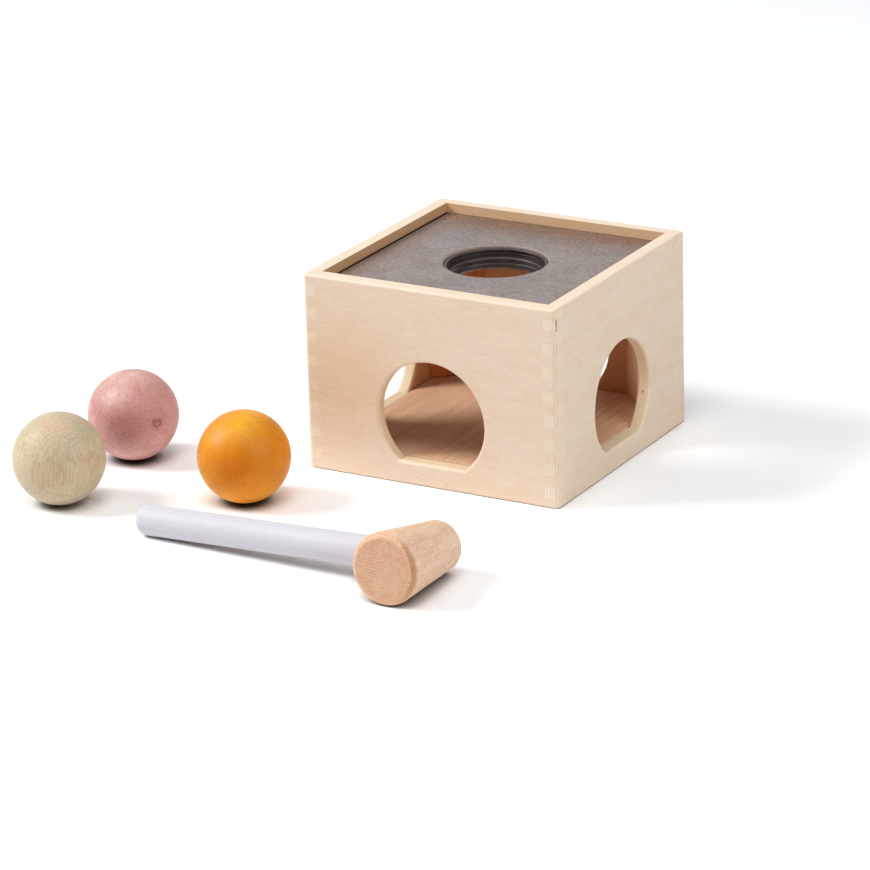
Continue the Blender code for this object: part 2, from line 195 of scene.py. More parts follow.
def block(low, high, edge, corner=0.0):
    """A box between two corners with rounded edges; the upright ones can have a radius of their own."""
    bm = bmesh.new()
    size = Matrix.Diagonal((*(high - low), 1.0))
    bmesh.ops.create_cube(bm, size=1.0, matrix=Matrix.Translation((low + high) / 2) @ size)
    if corner:
        uprights = [line for line in bm.edges if abs(line.verts[0].co.z - line.verts[1].co.z) > edge]
        round_edges(bm, uprights, corner, 8)
        bm.normal_update()
    sharp = [line for line in bm.edges if line.calc_face_angle(0.0) > math.radians(60)]
    round_edges(bm, sharp, edge, 4)
    return bm


def turned(profile, facets, closed=False):
    """A profile of (radius, height) points turned about Z; an open one starts and ends on the axis."""
    bm = bmesh.new()
    verts = [bm.verts.new((radius, 0.0, height)) for radius, height in profile]
    edges = [bm.edges.new(pair) for pair in zip(verts, verts[1:])]
    if closed:
        edges.append(bm.edges.new((verts[-1], verts[0])))
    bmesh.ops.spin(bm, geom=verts + edges, angle=2 * math.pi, steps=facets, axis=(0.0, 0.0, 1.0),
                   cent=(0.0, 0.0, 0.0))
    bmesh.ops.remove_doubles(bm, verts=bm.verts, dist=1e-6)
    return bm


def new_piece(name, bm, material=None):
    """An object of a closed mesh, with its faces pointing outwards."""
    bmesh.ops.recalc_face_normals(bm, faces=bm.faces)
    mesh = bpy.data.meshes.new(name)
    bm.to_mesh(mesh)
    bm.free()
    if material:
        mesh.materials.append(material)
    piece = bpy.data.objects.new(name, mesh)
    bpy.context.scene.collection.objects.link(piece)
    return piece


def settle(piece):
    """Turn what the piece's modifiers make into its own plain mesh."""
    bpy.context.view_layer.update()
    evaluated = piece.evaluated_get(bpy.context.evaluated_depsgraph_get())
    mesh = bpy.data.meshes.new_from_object(evaluated)
    piece.modifiers.clear()
    piece.data = mesh


def cut(piece, cutter):
    """Take a cutter's shape out of a piece, and remove the cutter."""
    modifier = piece.modifiers.new("cut", "BOOLEAN")
    modifier.operation = "DIFFERENCE"
    modifier.object = cutter
    modifier.solver = "EXACT"
    settle(piece)
    bpy.data.objects.remove(cutter)


def smooth(piece, angle=30.0):
    """Shade the piece smooth, with flat faces kept flat and edges past the angle kept sharp."""
    piece.data.shade_smooth()
    piece.data.set_sharp_from_angle(angle=math.radians(angle))
    modifier = piece.modifiers.new("flat faces", "WEIGHTED_NORMAL")
    modifier.keep_sharp = True
    modifier.weight = 100
    settle(piece)


def fit_in(piece, body, slot, *nodes):
    """The finished piece stands for CAD nodes and moves with their body."""
    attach(piece, body)
    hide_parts(*nodes)


floor_low, floor_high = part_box("floor_board")
floor_wood = solid_wood("floor_wood", FLOOR_PALE, FLOOR_DARK, floor_low, GRAIN_ALONG_Y, FLOOR_PITH,
                        FLOOR_RING, FLOOR_SIDE)
floor_board = new_piece("floor_board_finish", block(floor_low, floor_high, FLOOR_EDGE), floor_wood)
screw_nodes = ["floor_screw_" + corner for corner in ("front_left", "front_right", "back_left", "back_right")]
for node in screw_nodes:
    low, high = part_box(node)
    head = SCREW_HEAD_RADIUS + SCREW_CLEARANCE
    shank = SCREW_SHANK_RADIUS + SCREW_CLEARANCE
    neck = SCREW_SUNK + head - shank
    hole = turned([(0.0, floor_high.z * 2), (shank, floor_high.z * 2), (shank, neck), (head, SCREW_SUNK),
                   (head, -SCREW_SUNK), (0.0, -SCREW_SUNK)], SCREW_HOLE_FACETS)
    bmesh.ops.translate(hole, verts=hole.verts, vec=((low.x + high.x) / 2, (low.y + high.y) / 2, 0.0))
    cut(floor_board, new_piece("screw_hole", hole))
smooth(floor_board)
fit_in(floor_board, "box", "floor_wood", "floor_board")


# Corner posts
# Three-cornered posts of the same plain wood, one glued into each corner of the box.
# They stand on the floor board and carry the top panel, with their long sawn face to the middle.
# Their wood is darker and redder than the floor's as painted shade inside the box, and the back right one
# paler as painted light.
POST_EDGE = 0.0006
# Painted shade: the posts' wood tones are darker and redder than the floor's.
SHADED_POST_PALE = (0.73, 0.25, 0.075)
SHADED_POST_DARK = (0.60, 0.175, 0.048)
# Painted light: the back right post is paler than the others.
LIT_POST = "corner_post_back_right"
LIT_POST_TONES = ((0.96, 0.60, 0.38), (0.85, 0.46, 0.27))
POST_PITH = (0.03, 0.05)
POST_RING = 0.0035


def prism(outline, way):
    """A flat outline drawn out along a way."""
    bm = bmesh.new()
    face = bm.faces.new([bm.verts.new(point) for point in outline])
    drawn = bmesh.ops.extrude_face_region(bm, geom=[face], use_keep_orig=True)["geom"]
    bmesh.ops.translate(bm, verts=[item for item in drawn if isinstance(item, bmesh.types.BMVert)], vec=way)
    return bm


for width_name, width_side in (("left", -1), ("right", 1)):
    for depth_name, depth_side in (("front", -1), ("back", 1)):
        node = f"corner_post_{depth_name}_{width_name}"
        low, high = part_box(node)
        corner = Vector((high.x if width_side > 0 else low.x, high.y if depth_side > 0 else low.y, low.z))
        along_x = Vector((low.x if width_side > 0 else high.x, corner.y, low.z))
        along_y = Vector((corner.x, low.y if depth_side > 0 else high.y, low.z))
        bm = prism((corner, along_x, along_y), (0.0, 0.0, high.z - low.z))
        bmesh.ops.recalc_face_normals(bm, faces=bm.faces)
        round_edges(bm, bm.edges[:], POST_EDGE, 3)
        # The back right post is paler, as painted light; the others are darker, as painted shade.
        tones = LIT_POST_TONES if node == LIT_POST else (SHADED_POST_PALE, SHADED_POST_DARK)
        pith = (POST_PITH[0] * width_side, POST_PITH[1] * depth_side)
        post_wood = solid_wood(f"post_wood_{depth_name}_{width_name}", *tones, corner, (0.0, 0.0, 0.0), pith,
                               POST_RING)
        post = new_piece(node + "_finish", bm, post_wood)
        smooth(post)
        fit_in(post, "box", "post_wood", node)


# Floor screws
# Four countersunk wood screws of bright zinc-plated steel, driven up through the floor into the posts.
# Their slotted heads sit just below the floor's underside.
SCREW_LENGTH = 0.025
SCREW_POINT = 0.004
SCREW_SLOT = 0.001
SCREW_TIP_RADIUS = 0.0002
SCREW_FACETS = 32
THREAD_HEIGHT = 0.0003
THREAD_PITCH = 0.0016
ZINC_PALE = (0.66, 0.66, 0.64)
ZINC_DARK = (0.50, 0.51, 0.52)


def new_tree(name, kinds):
    """A Geometry Nodes tree with inputs of these kinds, with its inputs and their identifiers."""
    tree = bpy.data.node_groups.new(name, "GeometryNodeTree")
    identifiers = {}
    for key, kind in kinds.items():
        socket = tree.interface.new_socket(key, in_out="INPUT", socket_type="NodeSocket" + kind)
        identifiers[key] = socket.identifier
    tree.interface.new_socket("Geometry", in_out="OUTPUT", socket_type="NodeSocketGeometry")
    return tree, tree.nodes.new("NodeGroupInput").outputs, identifiers


def end_tree(tree, geometry, material):
    """Give a tree its output: the geometry made real, in a material."""
    real = add_node(tree, "GeometryNodeRealizeInstances", {0: geometry}).outputs[0]
    faced = add_node(tree, "GeometryNodeSetMaterial", {"Geometry": real, "Material": material})
    tree.links.new(faced.outputs[0], tree.nodes.new("NodeGroupOutput").inputs[0])


def combined(tree, operation, *meshes):
    """Meshes joined or crossed, or the first one with the others taken out."""
    node = add_node(tree, "GeometryNodeMeshBoolean", operation=operation, solver="EXACT")
    for number, mesh in enumerate(meshes):
        base = number == 0 and operation == "DIFFERENCE"
        tree.links.new(mesh, node.inputs["Mesh 1" if base else "Mesh 2"])
    return node.outputs["Mesh"]


def screw_tree():
    """One threaded countersunk screw, set at the corners of a rectangle."""
    sizes = ("Spacing X", "Spacing Y", "Length", "Head Radius", "Shank Radius", "Point", "Sunk", "Slot",
             "Thread Height", "Thread Pitch")
    kinds = {**dict.fromkeys(sizes, "Float"), "Steel": "Material"}
    tree, given, identifiers = new_tree("floor_screws", kinds)
    taper = calc(tree, "SUBTRACT", given["Head Radius"], given["Shank Radius"])
    plain = calc(tree, "SUBTRACT", calc(tree, "SUBTRACT", given["Length"], taper), given["Point"])
    point_bottom = calc(tree, "ADD", taper, plain)

    def raised(geometry, height):
        lift = add_node(tree, "ShaderNodeCombineXYZ", {"Z": height}).outputs[0]
        return add_node(tree, "GeometryNodeTransform", {"Geometry": geometry, "Translation": lift}).outputs[0]

    cone = {"Vertices": SCREW_FACETS, "Side Segments": 1, "Radius Bottom": given["Head Radius"],
            "Radius Top": given["Shank Radius"], "Depth": taper}
    head = add_node(tree, "GeometryNodeMeshCone", cone).outputs["Mesh"]
    cylinder = {"Vertices": SCREW_FACETS, "Radius": given["Shank Radius"], "Depth": plain}
    shank = add_node(tree, "GeometryNodeMeshCylinder", cylinder).outputs["Mesh"]
    shank = raised(shank, calc(tree, "ADD", taper, times(tree, plain, 0.5)))
    tip = {"Vertices": SCREW_FACETS, "Side Segments": 1, "Radius Bottom": given["Shank Radius"],
           "Radius Top": SCREW_TIP_RADIUS, "Depth": given["Point"]}
    point = raised(add_node(tree, "GeometryNodeMeshCone", tip).outputs["Mesh"], point_bottom)
    slot_size = add_node(tree, "ShaderNodeCombineXYZ", {
        "X": times(tree, given["Head Radius"], 3.0), "Y": given["Slot"],
        "Z": times(tree, given["Slot"], 2.0)}).outputs[0]
    slot = add_node(tree, "GeometryNodeMeshCube", {"Size": slot_size}).outputs["Mesh"]
    slotted = combined(tree, "DIFFERENCE", combined(tree, "UNION", head, shank, point), slot)
    turns = calc(tree, "DIVIDE", plain, given["Thread Pitch"])
    spiral = add_node(tree, "GeometryNodeCurveSpiral", {
        "Resolution": 24, "Rotations": turns, "Start Radius": given["Shank Radius"],
        "End Radius": given["Shank Radius"], "Height": plain}).outputs[0]
    wire = add_node(tree, "GeometryNodeCurvePrimitiveCircle",
                    {"Resolution": 6, "Radius": given["Thread Height"]}).outputs[0]
    thread = add_node(tree, "GeometryNodeCurveToMesh",
                      {"Curve": raised(spiral, taper), "Profile Curve": wire, "Fill Caps": True}).outputs[0]
    screw = add_node(tree, "GeometryNodeJoinGeometry")
    for part in (thread, slotted):
        tree.links.new(part, screw.inputs[0])
    corners = add_node(tree, "GeometryNodeMeshGrid", {
        "Size X": given["Spacing X"], "Size Y": given["Spacing Y"], "Vertices X": 2, "Vertices Y": 2})
    screws = add_node(tree, "GeometryNodeInstanceOnPoints",
                      {"Points": corners.outputs["Mesh"], "Instance": screw.outputs[0]}).outputs[0]
    end_tree(tree, raised(screws, given["Sunk"]), given["Steel"])
    return tree, identifiers


def from_tree(name, tree, identifiers, values):
    """A piece made by a Geometry Nodes tree with these input values, as a plain mesh."""
    piece = bpy.data.objects.new(name, bpy.data.meshes.new(name))
    bpy.context.scene.collection.objects.link(piece)
    modifier = piece.modifiers.new(name, "NODES")
    modifier.node_group = tree
    for key, value in values.items():
        modifier[identifiers[key]] = value
    settle(piece)
    return piece


zinc, tree, shader, place = new_material("zinc_plate", 0.32)
shader.inputs["Metallic"].default_value = 1.0
cloud = grain_noise(tree, place, (900.0, 900.0, 900.0), 2.0)
brushed = grain_noise(tree, place, (4000.0, 4000.0, 400.0), 4.0)
coat(tree, shader, tinted(tree, cloud, ZINC_PALE, ZINC_DARK), brushed, 0.00003)
low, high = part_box(screw_nodes[0])
screw_place = (low + high) / 2
floor_screws = from_tree("floor_screws", *screw_tree(), {
    "Spacing X": abs(screw_place.x) * 2, "Spacing Y": abs(screw_place.y) * 2, "Length": SCREW_LENGTH,
    "Head Radius": SCREW_HEAD_RADIUS, "Shank Radius": SCREW_SHANK_RADIUS - THREAD_HEIGHT,
    "Point": SCREW_POINT, "Sunk": SCREW_SUNK, "Slot": SCREW_SLOT, "Thread Height": THREAD_HEIGHT,
    "Thread Pitch": THREAD_PITCH, "Steel": zinc})
smooth(floor_screws)
fit_in(floor_screws, "box", "screw_steel", *screw_nodes)


# Walls
# Four boards of pale birch plywood, each with a ball opening, glued by finger joints at the corners.
# The glued box is sanded, so its outer edges are round and show the plies; the openings' rims are eased.
# Inside the box the birch is painted darker and redder as shade, with a painted shadow line under the panel's
# top; faces that point up are painted lighter.
front_low, front_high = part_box("front_wall")
right_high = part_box("right_wall")[1]
FINGER_HEIGHT = 0.00665
FINGERS = 8
JOINT_GAP = 0.00006
CORNER_ROUND = 0.003
SANDED_EDGE = 0.0015
OPENING_RADIUS = 0.032
OPENING_CENTRE = 0.038
SILL_BELOW_FLOOR = 0.0007
OPENING_RIM = 0.0019
OPENING_FACETS = 120
PLIES = 5
FRONT_BIRCH = (0.79, 0.645, 0.508)
SIDE_BIRCH = (0.79, 0.665, 0.525)
# Painted shade: inner faces below the panel are darker and redder, and the rim's inner faces darker, the side
# walls' most.
INSIDE_SHADE_TONE = (0.92, 0.57, 0.36)
RIM_SIDE_SHADE_TONE = (0.80, 0.60, 0.42)
RIM_BACK_SHADE_TONE = (1.0, 0.86, 0.68)
RIM_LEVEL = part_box("top_panel")[1].z
BORE_TONE = (1.10, 1.03, 0.90)
# A dark line on the inner faces under the panel's top: painted shadow in the gap beside the panel.
GAP_SHADE_TONE = (0.07, 0.055, 0.045)
GAP_SHADE_TOP = 0.0004
GAP_SHADE_FADES = 0.003
GAP_SHADE_ENDS = 0.005
PIN_KNOT = (0.0720, 0.0312, 0.0308)
PIN_KNOT_EDGE = 0.0008
PIN_KNOT_CORE = 0.0003
PIN_KNOT_TONE = (0.30, 0.17, 0.10)
WARM_AREA = (-0.052, front_low.y, 0.056)
WARM_REACH = 0.045
WARM_TONE = (0.99, 0.915, 0.82)
CHIP_DEPTH = 0.0016
CHIP_ANGLE = math.radians(32.0)
CHIP_WIDTHS = (0.00015, 0.00020, 0.00013, 0.00022, 0.00017, 0.00024, 0.00022, 0.0009)
WALL = front_high.y - front_low.y
INNER_FACE = -front_high.y
BOX_HEIGHT = front_high.z


def ragged_reach(tree, vector, point, noise, amount):
    """How far a place lies from a point, made uneven by noise."""
    uneven = times(tree, calc(tree, "SUBTRACT", noise, 0.5), amount)
    return calc(tree, "ADD", away_from(tree, vector, point), uneven)


def layered(tree, colour, *layers):
    """A colour multiplied by the tone of each layer, as far as the layer's factor goes."""
    for factor, tone in layers:
        colour = tinted(tree, factor, colour, tone, "MULTIPLY")
    return colour


def plywood(name, turn, birch, rim_shade_tone, shift, pin_knot=None):
    """Rotary-cut birch plywood with its length along X after a turn about Z, and its plies on edges."""
    material, tree, shader, place = new_material(name, 0.5)
    board = seen_from(tree, place, rotation=(0.0, 0.0, turn))
    facing = facing_of(tree, (0.0, 0.0, turn))
    end = calc(tree, "ABSOLUTE", facing["X"])
    level = axes_of(tree, board)["Z"]
    through = calc(tree, "ABSOLUTE", axes_of(tree, board)["Y"])
    ply = times(tree, calc(tree, "SUBTRACT", through, INNER_FACE), PLIES / WALL)
    ply = calc(tree, "MINIMUM", calc(tree, "MAXIMUM", ply, 0.001), PLIES - 0.001)
    odd = calc(tree, "MODULO", calc(tree, "FLOOR", ply), 2.0)
    even = calc(tree, "SUBTRACT", 1.0, odd)
    end_grain = calc(tree, "ADD", times(tree, odd, calc(tree, "SUBTRACT", 1.0, end)), times(tree, even, end))
    wobble = times(tree, grain_noise(tree, board, (90.0, 90.0, 90.0), shift), 0.12)
    seam = calc(tree, "PINGPONG", calc(tree, "ADD", ply, wobble), 1.0)
    seam = calc(tree, "MINIMUM", seam, calc(tree, "SUBTRACT", 1.0, seam))
    core = times(tree, spread(tree, ply, 0.3, 0.5), spread(tree, ply, PLIES - 0.3, PLIES - 0.5))
    glue = times(tree, spread(tree, seam, 0.16, 0.04), core)

    streak = grain_noise(tree, board, (14.0, 200.0, 110.0), shift, detail=4.0, distortion=0.8)
    swirl = grain_noise(tree, board, (9.0, 30.0, 22.0), shift + 11.0, detail=1.0)
    contour = spread(tree, calc(tree, "PINGPONG", times(tree, swirl, 15.0), 0.5), 0.12, 0.0)
    line = grain_noise(tree, board, (70.0, 1100.0, 1100.0), shift + 2.0, detail=2.0)
    warm = grain_noise(tree, board, (50.0, 60.0, 85.0), shift + 4.0, detail=2.0)
    pore = grain_noise(tree, board, (300.0, 2200.0, 2200.0), shift + 6.0, detail=1.0)
    speck = grain_noise(tree, board, (1500.0, 1500.0, 1500.0), shift + 8.0, detail=1.0)
    away = ragged_reach(tree, place, WARM_AREA, warm, WARM_REACH)
    # Faces that point up or down, and end faces, are lighter: painted light on the rim's top and the sill,
    # and paler end grain.
    edge = calc(tree, "MAXIMUM", end, calc(tree, "ABSOLUTE", facing["Z"]))
    rough_end = times(tree, end_grain, spread(tree, speck, 0.5, 0.72, 0.0, 0.5))
    # Inner faces are darker and redder below the panel and take the rim's tone above it: painted shade inside
    # the box and on the inner rim.
    inward = spread(tree, facing["Y"], 0.3, 0.8)
    inside = tinted(tree, spread(tree, level, RIM_LEVEL - 0.002, RIM_LEVEL), INSIDE_SHADE_TONE, rim_shade_tone)
    reach = away_from(tree, only(tree, board, (1.0, 0.0, 1.0)), (0.0, 0.0, OPENING_CENTRE))
    bore = times(tree, spread(tree, reach, OPENING_RADIUS + OPENING_RIM, OPENING_RADIUS + OPENING_RIM / 2),
                 spread(tree, calc(tree, "ABSOLUTE", facing["Y"]), 0.7, 0.3))
    # A dark band on the inner faces just under the panel's top is a painted shadow in the gap beside the
    # panel.
    below = spread(tree, level, RIM_LEVEL - GAP_SHADE_ENDS, RIM_LEVEL - GAP_SHADE_FADES)
    below = times(tree, times(tree, spread(tree, level, RIM_LEVEL, RIM_LEVEL - GAP_SHADE_TOP), inward), below)
    colour = layered(
        tree, birch,
        (spread(tree, streak, 0.3, 0.72, 0.0, 0.35), (0.95, 0.90, 0.84)),
        (spread(tree, warm, 0.38, 0.64), (1.0, 0.97, 0.94)),
        (spread(tree, away, WARM_REACH, 0.1 * WARM_REACH), WARM_TONE),
        (times(tree, contour, 0.25), (0.96, 0.88, 0.78)),
        (spread(tree, line, 0.42, 0.75, 0.0, 0.6), (0.94, 0.91, 0.88)),
        (spread(tree, speck, 0.40, 0.68, 0.0, 0.5), (0.94, 0.915, 0.89)),
        (spread(tree, pore, 0.60, 0.75, 0.0, 0.5), (0.86, 0.76, 0.66)),
        (edge, (1.07, 1.10, 1.12)),
        (rough_end, (0.90, 0.87, 0.83)),
        (times(tree, glue, 0.7), (0.82, 0.75, 0.66)),
        (inward, inside), (bore, BORE_TONE), (below, GAP_SHADE_TONE))
    if pin_knot:
        spot = spread(tree, away_from(tree, place, pin_knot), PIN_KNOT_EDGE, PIN_KNOT_CORE)
        colour = tinted(tree, spot, colour, PIN_KNOT_TONE)
    coat(tree, shader, colour, calc(tree, "ADD", line, calc(tree, "ADD", pore, rough_end)), 0.00008,
         spread(tree, streak, 0.2, 0.8, 0.46, 0.58))
    return material


def board_tree():
    """A board with a comb of notches at both ends, an opening, the box's sanded outside, and fine splits."""
    tree, given, identifiers = new_tree("jointed_board", {
        "Size": "Vector", "Notches": "Int", "Notch Height": "Float", "Notch Depth": "Float", "Pitch": "Float",
        "Turn": "Float", "Distance": "Float", "Opening": "Object", "Outside": "Object", "Chip": "Object",
        "Plywood": "Material"})
    size = axes_of(tree, given["Size"])
    half_length = times(tree, size["X"], 0.5)
    half_height = times(tree, size["Z"], 0.5)

    def vector(x=0.0, y=0.0, z=0.0):
        return add_node(tree, "ShaderNodeCombineXYZ", {"X": x, "Y": y, "Z": z}).outputs[0]

    def geometry_of(name):
        return add_node(tree, "GeometryNodeObjectInfo", {"Object": given[name]}).outputs["Geometry"]

    def moved(geometry, translation, turn=0.0):
        inputs = {"Geometry": geometry, "Translation": translation, "Rotation": vector(z=turn)}
        return add_node(tree, "GeometryNodeTransform", inputs).outputs[0]

    board = moved(add_node(tree, "GeometryNodeMeshCube", {"Size": given["Size"]}).outputs["Mesh"],
                  vector(z=half_height))
    notch_size = vector(times(tree, given["Notch Depth"], 2.0),
                        times(tree, size["Y"], 3.0), given["Notch Height"])
    notch = add_node(tree, "GeometryNodeMeshCube", {"Size": notch_size}).outputs["Mesh"]
    below = times(tree, calc(tree, "SUBTRACT", given["Notches"], 1.0), 0.5)
    lowest = calc(tree, "SUBTRACT", half_height, times(tree, below, given["Pitch"]))
    combs = []
    for end in (half_length, times(tree, half_length, -1.0)):
        comb = add_node(tree, "GeometryNodeMeshLine", {
            "Count": given["Notches"], "Start Location": vector(x=end, z=lowest),
            "Offset": vector(z=given["Pitch"])}).outputs[0]
        notches = add_node(tree, "GeometryNodeInstanceOnPoints", {"Points": comb, "Instance": notch})
        combs.append(add_node(tree, "GeometryNodeRealizeInstances", {0: notches.outputs[0]}).outputs[0])
    shaped = combined(tree, "DIFFERENCE", board, *combs, geometry_of("Opening"))
    outwards = vector(y=times(tree, given["Distance"], -1.0))
    set_up = moved(moved(shaped, outwards), vector(), given["Turn"])
    sanded = combined(tree, "INTERSECT", geometry_of("Outside"), set_up)
    end_tree(tree, combined(tree, "DIFFERENCE", sanded, geometry_of("Chip")), given["Plywood"])
    return tree, identifiers


def opening_plug():
    """The ball opening as a plug through a board at the origin: a circle cut off by the sill."""
    drop = OPENING_CENTRE - (floor_high.z - SILL_BELOW_FLOOR)
    corner = math.asin(drop / OPENING_RADIUS)
    outline = []
    for step in range(OPENING_FACETS + 1):
        angle = -corner + (math.pi + 2 * corner) * step / OPENING_FACETS
        outline.append((OPENING_RADIUS * math.cos(angle), -WALL,
                        OPENING_CENTRE + OPENING_RADIUS * math.sin(angle)))
    return new_piece("opening_plug", prism(outline, (0.0, 2 * WALL, 0.0)))


def ease_rims(wall, across, through):
    """Round the rims of a wall's opening, apart from its sill's inner one.

    Across and through are the axes of the wall's width and thickness.
    """
    limit = OPENING_RADIUS + 1e-5
    bm = bmesh.new()
    bm.from_mesh(wall.data)
    rims = []
    for edge in bm.edges:
        inside = [math.hypot(v.co[across], v.co.z - OPENING_CENTRE) < limit for v in edge.verts]
        level = abs(edge.verts[0].co[through] - edge.verts[1].co[through]) < 1e-6
        sill = all(v.co.z < floor_high.z and abs(v.co[through]) < INNER_FACE + WALL / 2 for v in edge.verts)
        if all(inside) and level and not sill and edge.calc_face_angle(0.0) > math.radians(60):
            rims.append(edge)
    round_edges(bm, rims, OPENING_RIM, 5)
    bm.to_mesh(wall.data)
    bm.free()


outside = new_piece("sanded_outside", block(
    Vector((front_low.x, front_low.y, 0.0)), Vector((-front_low.x, -front_low.y, BOX_HEIGHT)), SANDED_EDGE,
    CORNER_ROUND))
opening = opening_plug()
finger_pitch = 2 * FINGER_HEIGHT
chip_bm = bmesh.new()
for finger, width in enumerate(CHIP_WIDTHS):
    place = Vector((right_high.x - CORNER_ROUND * (1.0 - math.cos(CHIP_ANGLE)),
                    front_low.y + CORNER_ROUND * (1.0 - math.sin(CHIP_ANGLE)),
                    BOX_HEIGHT / 2 + (finger - (FINGERS - 1) / 2) * finger_pitch))
    size = Matrix.Diagonal((width, CHIP_DEPTH, FINGER_HEIGHT - 4 * JOINT_GAP, 1.0))
    bmesh.ops.create_cube(chip_bm, size=1.0, matrix=(
        Matrix.Translation(place) @ Matrix.Rotation(math.pi / 2 - CHIP_ANGLE, 4, "Z") @ size))
chip = new_piece("chip", chip_bm)
jointed_board, board_inputs = board_tree()
walls = {
    "front_wall": (0.0, FINGERS, FRONT_BIRCH, RIM_BACK_SHADE_TONE, 0.0),
    "back_wall": (math.pi, FINGERS, FRONT_BIRCH, RIM_BACK_SHADE_TONE, 13.0),
    "right_wall": (math.pi / 2, FINGERS + 1, SIDE_BIRCH, RIM_SIDE_SHADE_TONE, 29.0, PIN_KNOT),
    "left_wall": (-math.pi / 2, FINGERS + 1, SIDE_BIRCH, RIM_SIDE_SHADE_TONE, 41.0),
}
for name, (turn, notches, *finish) in walls.items():
    wall = from_tree(name + "_finish", jointed_board, board_inputs, {
        "Size": (front_high.x - front_low.x, WALL, BOX_HEIGHT), "Notches": notches,
        "Notch Height": FINGER_HEIGHT + JOINT_GAP, "Notch Depth": WALL + JOINT_GAP, "Pitch": finger_pitch,
        "Turn": turn, "Distance": INNER_FACE + WALL / 2, "Opening": opening, "Outside": outside,
        "Chip": chip if name == "right_wall" else None,
        "Plywood": plywood("birch_" + name, turn, *finish)})
    sideways = 1 if name in ("left_wall", "right_wall") else 0
    ease_rims(wall, sideways, 1 - sideways)
    smooth(wall)
    fit_in(wall, "box", "pale_wood", name)
for cutter in (outside, opening, chip):
    bpy.data.objects.remove(cutter)


# Top panel
# A plywood board stained grey-brown, set a little below the rim on the corner posts.
# The ball hole in its middle has an eased rim above and a ledge below for the rubber ring.
# Towards the back and left walls it is painted browner, as painted shade and a painted reflection of the
# walls.
PANEL_EDGE = 0.0006
HOLE_RADIUS = 0.0285
HOLE_RIM = 0.001
HOLE_FACETS = 160
WORN_RIM = 0.0006
WORN_TONE = (0.46, 0.35, 0.29)
LEDGE_RADIUS = 0.0265
LEDGE_HEIGHT = 0.0014
PANEL_GREY = (0.300, 0.256, 0.237)
PANEL_DARK = (0.256, 0.214, 0.195)
PANEL_SHADE_AND_REFLECTION = (0.78, 0.55, 0.41)
PANEL_LEFT_GREY = 0.014
PANEL_LEFT_GAP = 0.0012


def arc(centre, radius, start, end, steps=6):
    """Points of a circular arc between two angles in degrees."""
    angles = [math.radians(start + (end - start) * step / steps) for step in range(steps + 1)]
    return [(centre[0] + radius * math.cos(a), centre[1] + radius * math.sin(a)) for a in angles]


panel_low, panel_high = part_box("top_panel")
grey_stain, tree, shader, place = new_material("grey_stain", 0.6, 0.2)
mottle = grain_noise(tree, place, (560.0, 560.0, 560.0), 3.0, detail=4.0)
patch = grain_noise(tree, place, (48.0, 48.0, 48.0), 5.0, detail=3.0, distortion=0.5)
cool = grain_noise(tree, place, (26.0, 26.0, 26.0), 9.0, detail=1.0)
fleck = grain_noise(tree, place, (260.0, 620.0, 500.0), 7.0, detail=2.0)
colour = tinted(tree, spread(tree, patch, 0.3, 0.7), PANEL_GREY, PANEL_DARK)
colour = layered(tree, colour, (spread(tree, cool, 0.35, 0.65), (0.96, 1.0, 1.05)),
                 (spread(tree, mottle, 0.38, 0.66, 0.0, 0.8), (0.74, 0.72, 0.71)))
colour = tinted(tree, spread(tree, fleck, 0.62, 0.78, 0.0, 0.25), colour, (0.40, 0.35, 0.32))
spot = axes_of(tree, place)
# Towards the back and left walls the grey is painted browner: painted shade and a painted reflection of the
# walls.
to_edge = calc(tree, "MAXIMUM", spot["Y"], calc(tree, "SUBTRACT", -PANEL_LEFT_GREY, spot["X"]))
colour = tinted(tree, spread(tree, to_edge, 0.028, 0.062), colour, PANEL_SHADE_AND_REFLECTION, "MULTIPLY")
reach = away_from(tree, only(tree, place, (1.0, 1.0, 0.0)), (0.0, 0.0, 0.0))
worn = times(tree, spread(tree, reach, HOLE_RADIUS + WORN_RIM, HOLE_RADIUS + WORN_RIM / 2),
             spread(tree, mottle, 0.36, 0.56, 0.3, 0.8))
colour = tinted(tree, worn, colour, WORN_TONE)
coat(tree, shader, colour, calc(tree, "ADD", patch, mottle), 0.00005,
     spread(tree, mottle, 0.3, 0.7, 0.54, 0.66))
panel_left = panel_low + Vector((PANEL_LEFT_GAP, 0.0, 0.0))
top_panel = new_piece("top_panel_finish", block(panel_left, panel_high, PANEL_EDGE), grey_stain)
above = panel_high.z + HOLE_RIM
below = panel_low.z - HOLE_RIM
ledge = panel_low.z + LEDGE_HEIGHT
rim = arc((HOLE_RADIUS + HOLE_RIM, panel_high.z - HOLE_RIM), HOLE_RIM, 90, 180)
hole = turned([(0.0, above), (HOLE_RADIUS + HOLE_RIM, above), *rim, (HOLE_RADIUS, ledge),
               (LEDGE_RADIUS, ledge), (LEDGE_RADIUS, below), (0.0, below)], HOLE_FACETS)
cut(top_panel, new_piece("ball_hole", hole))
smooth(top_panel)
fit_in(top_panel, "box", "grey_paint", "top_panel")


